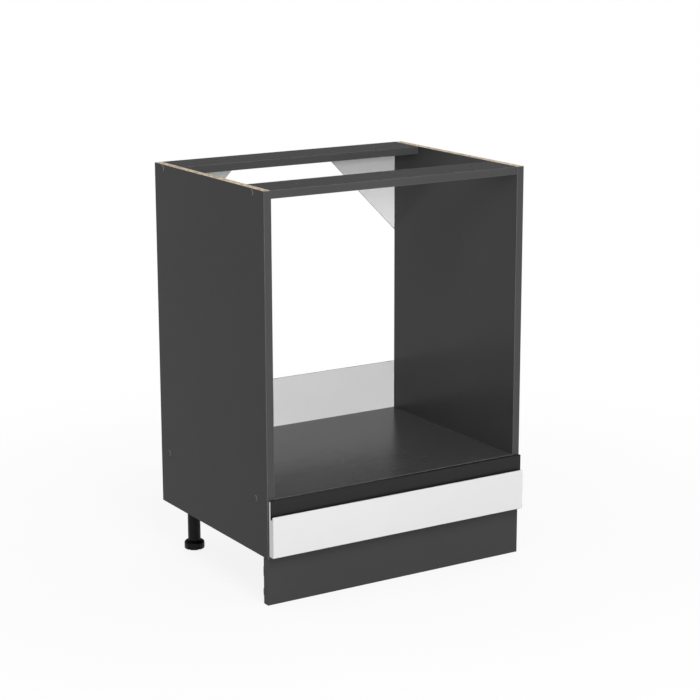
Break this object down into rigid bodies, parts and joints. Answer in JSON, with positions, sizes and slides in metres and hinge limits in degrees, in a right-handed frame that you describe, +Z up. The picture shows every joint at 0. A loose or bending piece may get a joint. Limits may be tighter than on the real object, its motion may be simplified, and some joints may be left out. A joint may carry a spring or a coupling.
{
  "type": "oven housing cabinet",
  "caption": "Flat-pack kitchen base cabinet with an open oven niche, a shallow drawer with a grip recess, adjustable legs and a clip-on plinth.",
  "frame": {"origin": "on the floor under the middle of the cabinet's overall box", "axes": "+X right seen from the front, +Y to the back, +Z up"},
  "size_m": [0.6018, 0.471, 0.816],
  "materials": {
    "anthracite_board": "chipboard with a plain anthracite melamine face, satin; raw top ends",
    "anthracite_edging": "1 mm plastic edging, slightly lighter than the boards, satin",
    "white_hardboard": "thin hardboard lacquered white on the face, brown on the back",
    "white_gloss_front": "fibreboard in white high gloss foil",
    "black_liner": "black plastic liner, satin",
    "zinc_steel": "bright zinc plate",
    "zinc_casting": "die cast zinc, dull",
    "cap_plastic": "anthracite plastic, satin",
    "beech": "plain beech",
    "bumper_rubber": "soft clear grey pads",
    "runner_enamel": "white powder coat on bent sheet steel",
    "roller_plastic": "natural white plastic",
    "leg_plastic": "black moulded plastic, satin",
    "clip_plastic": "black moulded plastic, satin"
  },
  "bodies": {
    "carcass": {"left_side": "anthracite_board", "right_side": "anthracite_board", "bottom_panel": "anthracite_board", "oven_shelf": "anthracite_board", "front_rail": "anthracite_board", "rear_rail": "anthracite_board", "left_side_edging": "anthracite_edging", "right_side_edging": "anthracite_edging", "bottom_edging": "anthracite_edging", "shelf_edging": "anthracite_edging", "front_rail_edging": "anthracite_edging", "rear_rail_edging": "anthracite_edging", "lower_back": "white_hardboard", "left_gusset": "white_hardboard", "right_gusset": "white_hardboard", "confirmat_screws": "zinc_steel", "cam_bolts": "zinc_steel", "hardboard_pins": "zinc_steel", "leg_socket_screws": "zinc_steel", "cabinet_roller_axles": "zinc_steel", "cabinet_runner_screws": "zinc_steel", "cam_housings": "zinc_casting", "screw_caps": "cap_plastic", "dowels": "beech", "bumper_pads": "bumper_rubber", "left_cabinet_runner": "runner_enamel", "right_cabinet_runner": "runner_enamel", "leg_socket_front_left": "leg_plastic", "leg_tube_front_left": "leg_plastic", "leg_socket_front_right": "leg_plastic", "leg_tube_front_right": "leg_plastic", "leg_socket_rear_left": "leg_plastic", "leg_tube_rear_left": "leg_plastic", "leg_socket_rear_right": "leg_plastic", "leg_tube_rear_right": "leg_plastic"},
    "drawer": {"drawer_left_side": "anthracite_board", "drawer_right_side": "anthracite_board", "drawer_back": "anthracite_board", "drawer_bottom": "white_hardboard", "drawer_front": "white_gloss_front", "grip_liner": "black_liner", "drawer_cam_bolts": "zinc_steel", "drawer_screws": "zinc_steel", "drawer_roller_axles": "zinc_steel", "drawer_runner_screws": "zinc_steel", "drawer_cam_housings": "zinc_casting", "left_drawer_runner": "runner_enamel", "right_drawer_runner": "runner_enamel"},
    "plinth": {"plinth_board": "anthracite_board", "plinth_clips": "clip_plastic", "plinth_clip_screws": "zinc_steel"},
    "left_cabinet_roller": {"left_cabinet_roller": "roller_plastic"},
    "right_cabinet_roller": {"right_cabinet_roller": "roller_plastic"},
    "left_drawer_roller": {"left_drawer_roller": "roller_plastic"},
    "right_drawer_roller": {"right_drawer_roller": "roller_plastic"},
    "foot_front_left": {"foot_front_left": "leg_plastic"},
    "foot_front_right": {"foot_front_right": "leg_plastic"},
    "foot_rear_left": {"foot_rear_left": "leg_plastic"},
    "foot_rear_right": {"foot_rear_right": "leg_plastic"}
  },
  "joints": [
    {"name": "drawer_slide", "type": "slide", "parent": "carcass", "child": "drawer", "axis": [0, -1, 0], "range_m": [0, 0.3]},
    {"name": "plinth_pull", "type": "slide", "parent": "carcass", "child": "plinth", "axis": [0, -1, 0], "range_m": [0, 0.04]},
    {"name": "left_cabinet_roller_turn", "type": "hinge", "parent": "carcass", "child": "left_cabinet_roller", "pos_m": [-0.27775, -0.1985, 0.1296], "axis": [1, 0, 0], "range_deg": [0, 2160]},
    {"name": "left_drawer_roller_turn", "type": "hinge", "parent": "drawer", "child": "left_drawer_roller", "pos_m": [-0.27775, 0.1645, 0.1294], "axis": [1, 0, 0], "range_deg": [0, 2160]},
    {"name": "right_cabinet_roller_turn", "type": "hinge", "parent": "carcass", "child": "right_cabinet_roller", "pos_m": [0.27775, -0.1985, 0.1296], "axis": [1, 0, 0], "range_deg": [0, 2160]},
    {"name": "right_drawer_roller_turn", "type": "hinge", "parent": "drawer", "child": "right_drawer_roller", "pos_m": [0.27775, 0.1645, 0.1294], "axis": [1, 0, 0], "range_deg": [0, 2160]},
    {"name": "foot_front_left_screw", "type": "slide", "parent": "carcass", "child": "foot_front_left", "axis": [0, 0, -1], "range_m": [0, 0.02]},
    {"name": "foot_front_right_screw", "type": "slide", "parent": "carcass", "child": "foot_front_right", "axis": [0, 0, -1], "range_m": [0, 0.02]},
    {"name": "foot_rear_left_screw", "type": "slide", "parent": "carcass", "child": "foot_rear_left", "axis": [0, 0, -1], "range_m": [0, 0.02]},
    {"name": "foot_rear_right_screw", "type": "slide", "parent": "carcass", "child": "foot_rear_right", "axis": [0, 0, -1], "range_m": [0, 0.02]}
  ],
  "couplings": [
    {"joint": "left_cabinet_roller_turn", "follows": "drawer_slide", "rad_per_m": 125},
    {"joint": "left_drawer_roller_turn", "follows": "drawer_slide", "rad_per_m": 125},
    {"joint": "right_cabinet_roller_turn", "follows": "drawer_slide", "rad_per_m": 125},
    {"joint": "right_drawer_roller_turn", "follows": "drawer_slide", "rad_per_m": 125}
  ]
}
